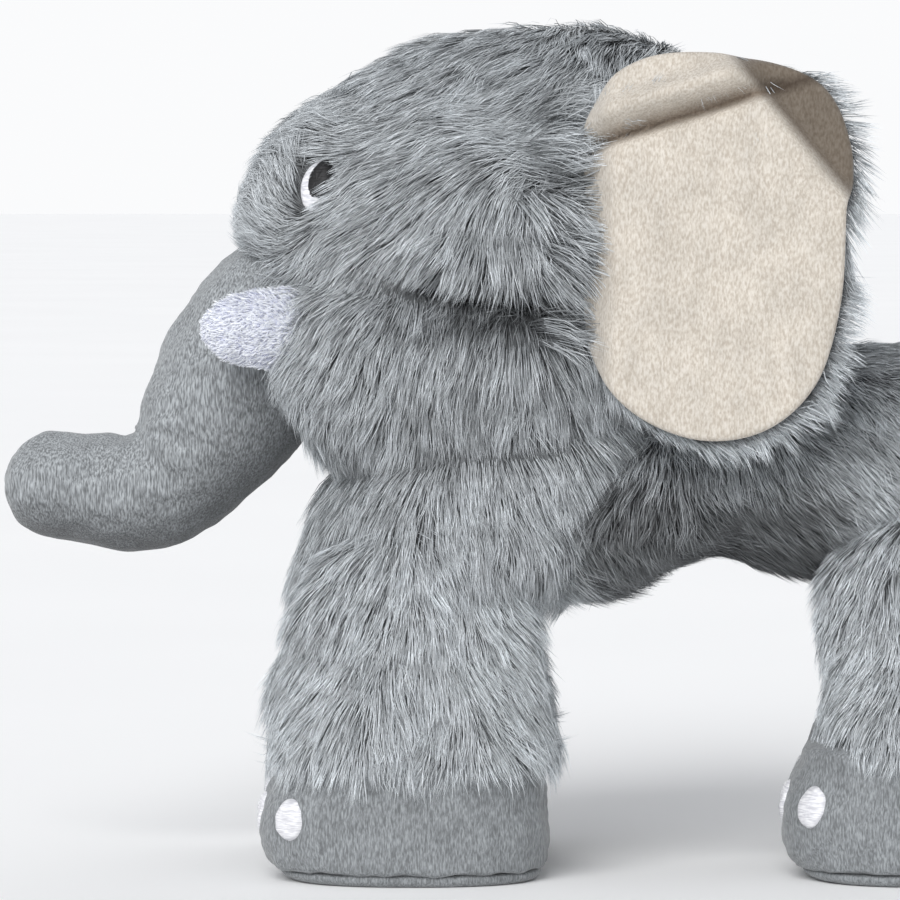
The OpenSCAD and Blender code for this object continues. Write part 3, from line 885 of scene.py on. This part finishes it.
# Half the height, half the width and the crown of each
EYE_OVAL = (9.0, 6.2, 4.4)
IRIS_OVAL = (7.6, 4.9, 5.1)
IRIS_SHIFT = np.array([1.6, 0.8, 1.6])


def make_eye(word, side):
    tree = BVHTree.FromObject(head_skin, bpy.context.evaluated_depsgraph_get())
    out = np.array([-math.sin(EYE_TURN), side * math.cos(EYE_TURN), 0])
    centre = np.array([EYE[0], side * EYE_OUT, EYE[1]])
    white = make(f"eye_stitches_{word}", *stitched(tree, centre, out, *EYE_OVAL), WHITE_THREAD)
    centre = centre + IRIS_SHIFT * np.array([1, side, 1])
    iris = make(f"iris_stitches_{word}", *stitched(tree, centre, out, *IRIS_OVAL), BLACK_THREAD)
    for piece, node, slot in ((white, "eye", "white_stitch"), (iris, "iris", "black_stitch")):
        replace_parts(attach(piece, "head"), f"{node}_{word}")


for word, side in SIDES:
    make_eye(word, side)

# ------------------------------------------------------------------ ears

# Distance behind the seam, height above the seam's lower end
EAR_OUTLINE = [
    [0, 0], [0, 35], [2, 66], [22, 84], [52, 85], [80, 76], [91, 55],
    [91, 28], [89, 0], [81, -25], [64, -40], [42, -43], [20, -34], [5, -17],
]
EAR_MIDDLE = np.array([46.0, 20.0])
FLAP_LINE = ((64, 68), (90, 36))  # the ear's back corner is folded away beyond it
ROLL_LINE = ((-4, 55), (66, 74))  # the ear's top rolls forward above it


def ear_axes(side):
    """An ear's ways backwards, up and away from the head."""
    c, f = math.cos(EAR_FLARE), math.sin(EAR_FLARE)
    lean_c, lean_s = math.cos(EAR_LEAN), math.sin(EAR_LEAN)
    ways = np.array([[c, f * lean_c, f * lean_s], [0, -lean_s, lean_c], [-f, c * lean_c, c * lean_s]])
    return ways * np.array([1, side, 1])


def ear_place(a, b, out, side):
    """Places on an ear, from how far each is behind the seam, above its lower end and away from the head."""
    back, up, away = ear_axes(side)
    return EAR_SEAM * np.array([1, side, 1]) + a[:, None] * back + b[:, None] * up + out[:, None] * away


def on_ear(p, side):
    """Distance behind the seam and height above its lower end of places on an ear."""
    back, up, _ = ear_axes(side)
    q = p - EAR_SEAM * np.array([1, side, 1])
    return np.stack([q @ back, q @ up], -1)


def ear_round(per=12):
    """The ear's outline as a smooth closed curve."""
    rows = EAR_OUTLINE[-1:] + EAR_OUTLINE + EAR_OUTLINE[:2]
    made = spline(rows, per)
    return made[per:-per][: per * len(EAR_OUTLINE)]


def line_apart(p, start, end):
    """Signed distance from a straight line, positive on its left, and the share of the way along it."""
    d = np.array(end, float) - start
    along = ((p - start) @ d) / (d @ d)
    return ((p - start) @ np.array([-d[1], d[0]])) / np.linalg.norm(d), along


def flap_apart(p):
    """How far a place is beyond the line where the ear's back corner is folded away."""
    return line_apart(p, *FLAP_LINE)[0]


def ear_relief(p):
    """Folds of the lining, in millimetres away from the head."""
    apart, along = line_apart(p, *ROLL_LINE)
    roll = ease(-0.1, 0.3, along) * ease(1.15, 0.8, along)
    top = (-8.0 * hump(apart + 0.5, 2.6) + 7.0 * hump(apart - 6.5, 5.0)) * roll
    flap = -9.0 * ease(-1.5, 5, flap_apart(p))
    tucked = -12.0 * ease(15, 0, p[:, 0]) * ease(-38, -14, p[:, 1]) * ease(92, 76, p[:, 1])
    ripple = 0.5 * np.sin((p[:, 1] - 0.25 * p[:, 0]) * 1.55)
    wrinkles = ripple * hump(p[:, 0] - 80, 9) * hump(p[:, 1] - 42, 11)
    dimple = -1.8 * np.exp(-(((p[:, 0] - 14) / 14) ** 2) - ((p[:, 1] - 10) / 12) ** 2)
    slack = 0.8 * np.sin(p[:, 0] / 11 + 1) * np.sin(p[:, 1] / 14 + 2)
    return top + flap + tucked + wrinkles + dimple + slack


def ear_skin(side, near, far, grown):
    """A closed skin between two distances from the head, with a soft turned edge."""
    outline = ear_round()
    reach = np.linalg.norm(outline - EAR_MIDDLE, axis=1)[:, None]
    outline = EAR_MIDDLE + (outline - EAR_MIDDLE) * (1 + grown / reach)
    steps = [(q, far, 1.0, -0.8 * q**8) for q in np.linspace(0.03, 0.97, 34)]
    steps += [
        (q, near + (far - near) * f, 1.0, -0.6)
        for q, f in ((0.985, 0.82), (0.996, 0.5), (0.996, 0.2), (0.985, 0.0))
    ]
    steps += [(q, near, 0.9, 0.0) for q in np.linspace(0.97, 0.03, 34)]
    rings = []
    for q, out, share, edge in steps:
        p = EAR_MIDDLE + (outline - EAR_MIDDLE) * q
        rings.append(ear_place(p[:, 0], p[:, 1], out + share * ear_relief(p) + edge, side))
    return skin_of(np.array(rings))


def paint_shade_along(cloth, line, stops):
    """Paints shade on the ears' fabric by distance from a line on the ear, with stops of (distance, colour).
    """
    tree = cloth.node_tree
    back, up, _ = ear_axes(1)
    (start_a, start_b), (end_a, end_b) = line
    across = unit(np.array([start_b - end_b, end_a - start_a], float))
    way = across @ np.stack([back, up])
    offset = EAR_SEAM @ way + np.array([start_a, start_b]) @ across
    both_sides = tree.nodes.new("ShaderNodeVectorMath")
    both_sides.operation = "ABSOLUTE"
    tree.links.new(tree.nodes.new("ShaderNodeTexCoord").outputs["Object"], both_sides.inputs[0])
    beyond = tree.nodes.new("ShaderNodeVectorMath")
    beyond.operation = "DOT_PRODUCT"
    beyond.inputs[1].default_value = way
    tree.links.new(both_sides.outputs["Vector"], beyond.inputs[0])
    low, high = stops[0][0], stops[-1][0]
    share = tree.nodes.new("ShaderNodeMapRange")
    share.inputs["From Min"].default_value = (offset + low) * MM
    share.inputs["From Max"].default_value = (offset + high) * MM
    tree.links.new(beyond.outputs["Value"], share.inputs["Value"])
    ends_first = [stops[0], stops[-1]] + stops[1:-1]
    shares = [((at - low) / (high - low), colour) for at, colour in ends_first]
    multiply_base(tree, ramp(tree, share.outputs["Result"], shares))


WHOLE = (1.0, 1.0, 1.0)
# Painted shade on the folded-away back corner of each ear, turned from the light
paint_shade_along(EAR_CLOTH, FLAP_LINE, [(0, WHOLE), (3, (0.27, 0.24, 0.21))])
# Painted shade in the crease under each ear's rolled top
paint_shade_along(EAR_CLOTH, ROLL_LINE, [(-4.5, WHOLE), (-0.5, (0.40, 0.34, 0.29)), (3, WHOLE)])


def make_ear(word, side, seed):
    lining = make(f"ear_cloth_{word}", *ear_skin(side, 5.4, 8.0, 0.0), EAR_CLOTH)
    skin = make(f"ear_skin_{word}", *ear_skin(side, 3.0, 5.0, -1.5), BACKING)
    back, up, away = ear_axes(side)

    def way(p):
        spot = on_ear(p, side)
        outwards = unit(spot - np.array([-20, 30]))
        along_fold = unit(np.array(FLAP_LINE[1], float) - FLAP_LINE[0])
        apart = flap_apart(spot)
        near = (ease(-26, -14, apart) * ease(14, 6, apart))[:, None]
        return unit(outwards * (1 - near) + along_fold * near) @ np.stack([back, up])

    def keep(p, n):
        spot = on_ear(p, side)
        above_crease, _ = line_apart(spot, *ROLL_LINE)
        apart = flap_apart(spot)
        through_crease = (above_crease > -2) & (above_crease < 12) & (apart > -32) & (apart < 4)
        return (n @ away < 0.25) & ~through_crease

    grow(f"ear_fur_{word}", skin, f"ear_{word}", way, everywhere(15.0), seed, keep=keep, lift=0.35,
         tone=everywhere(3.6))
    for piece, node, slot in ((lining, "lining", "ear_lining"), (skin, "back", "fur")):
        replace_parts(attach(piece, f"ear_{word}"), f"ear_{node}_{word}")


for n, (word, side) in enumerate(SIDES):
    make_ear(word, side, 71 + n)

# ------------------------------------------------------------------ tail


# x, z and radius
TAIL = [
    [175, 98, 4], [176, 110, 4], [176, 124, 4], [175.5, 136, 4],
    [172, 145, 3.8], [166, 150, 3.4], [158, 151, 3],
]
TUFT = [[175, 88, 1.0], [175, 92, 2.6], [175, 98, 3.2], [175, 104, 3.0], [175, 108, 1.5]]


def make_tail():
    rows = spline(TAIL, 5)
    ahead = unit(np.gradient(rows[:, :2], axis=0))
    nought = np.zeros(len(rows))
    centres = np.stack([rows[:, 0], nought, rows[:, 1]], 1)
    thick = np.stack([ahead[:, 1] * rows[:, 2], nought, -ahead[:, 0] * rows[:, 2]], 1)
    wide = np.stack([nought, rows[:, 2], nought], 1)
    tube = make("tail_cloth", *loft(centres, thick, wide, 2, 24), TRUNK_CLOTH)
    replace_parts(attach(tube, "tail"), "tail_tube")
    rows = np.array(TUFT)
    nought = np.zeros(len(rows))
    centres = np.stack([rows[:, 0], nought, rows[:, 1]], 1)
    thick = np.stack([rows[:, 2], nought, nought], 1)
    wide = np.stack([nought, rows[:, 2], nought], 1)
    tuft = make("tail_tuft_skin", *loft(centres, thick, wide, 2, 24), BACKING)
    grow("tail_fur", tuft, "tail", everywhere(np.array([0, 0, -1.0])), everywhere(22.0), 91,
         density=3.0, lift=0.25, clump=0.8)
    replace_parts(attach(tuft, "tail"), "tail_tuft")


make_tail()

# ------------------------------------------------------------------ studio


def soft_light(name, towards, softness, strength):
    """A broad, even light that shines towards a direction."""
    light = bpy.data.lights.new(name, "SUN")
    light.energy = strength
    light.angle = math.radians(softness)
    made = bpy.data.objects.new(name, light)
    made.rotation_euler = Vector(towards).to_track_quat("-Z", "Y").to_euler()
    bpy.context.scene.collection.objects.link(made)


def make_studio():
    floor_cloth, tree, shader = new_material("pale_floor")
    place = tree.nodes.new("ShaderNodeTexCoord").outputs["Object"]
    colour = ramp(tree, noise(tree, place, 400, 2), [(0.2, (0.95, 0.95, 0.95)), (0.8, (0.98, 0.98, 0.98))])
    tree.links.new(colour, shader.inputs["Base Color"])
    shader.inputs["Roughness"].default_value = 1.0
    shader.inputs["Specular IOR Level"].default_value = 0.0
    half = 30000
    corners = [[-half, -half, 0], [half, -half, 0], [half, half, 0], [-half, half, 0]]
    make("floor", corners, [(0, 1, 2, 3)], floor_cloth)
    world = bpy.data.worlds.new("studio")
    world.use_nodes = True
    tree = world.node_tree
    split = tree.nodes.new("ShaderNodeSeparateXYZ")
    tree.links.new(tree.nodes.new("ShaderNodeTexCoord").outputs["Generated"], split.inputs["Vector"])
    wall = ramp(tree, split.outputs["Z"], [(0.2, (0.96, 0.965, 0.975)), (0.45, (0.38, 0.39, 0.41))])
    tree.links.new(wall, tree.nodes["Background"].inputs["Color"])
    bpy.context.scene.world = world
    soft_light("key", (0.35, 0.95, -0.8), 40, 2.05)
    soft_light("fill", (-0.3, -0.8, -0.5), 70, 0.6)


def make_camera():
    """The camera looks straight at the elephant's left side from a little above."""
    elevation, distance = math.radians(3), 1.75
    aim = Vector((-0.029, -0.058, 0.145))
    back = Vector((0, -math.cos(elevation), math.sin(elevation)))
    lens = bpy.data.cameras.new("camera")
    lens.sensor_width = 36
    lens.lens = 36 * distance / 0.300
    lens.clip_end = 60
    camera = bpy.data.objects.new("camera", lens)
    camera.location = aim + back * distance
    camera.rotation_euler = (-back).to_track_quat("-Z", "Y").to_euler()
    bpy.context.scene.collection.objects.link(camera)
    bpy.context.scene.camera = camera


make_studio()
make_camera()
bpy.context.scene.view_settings.view_transform = "Standard"
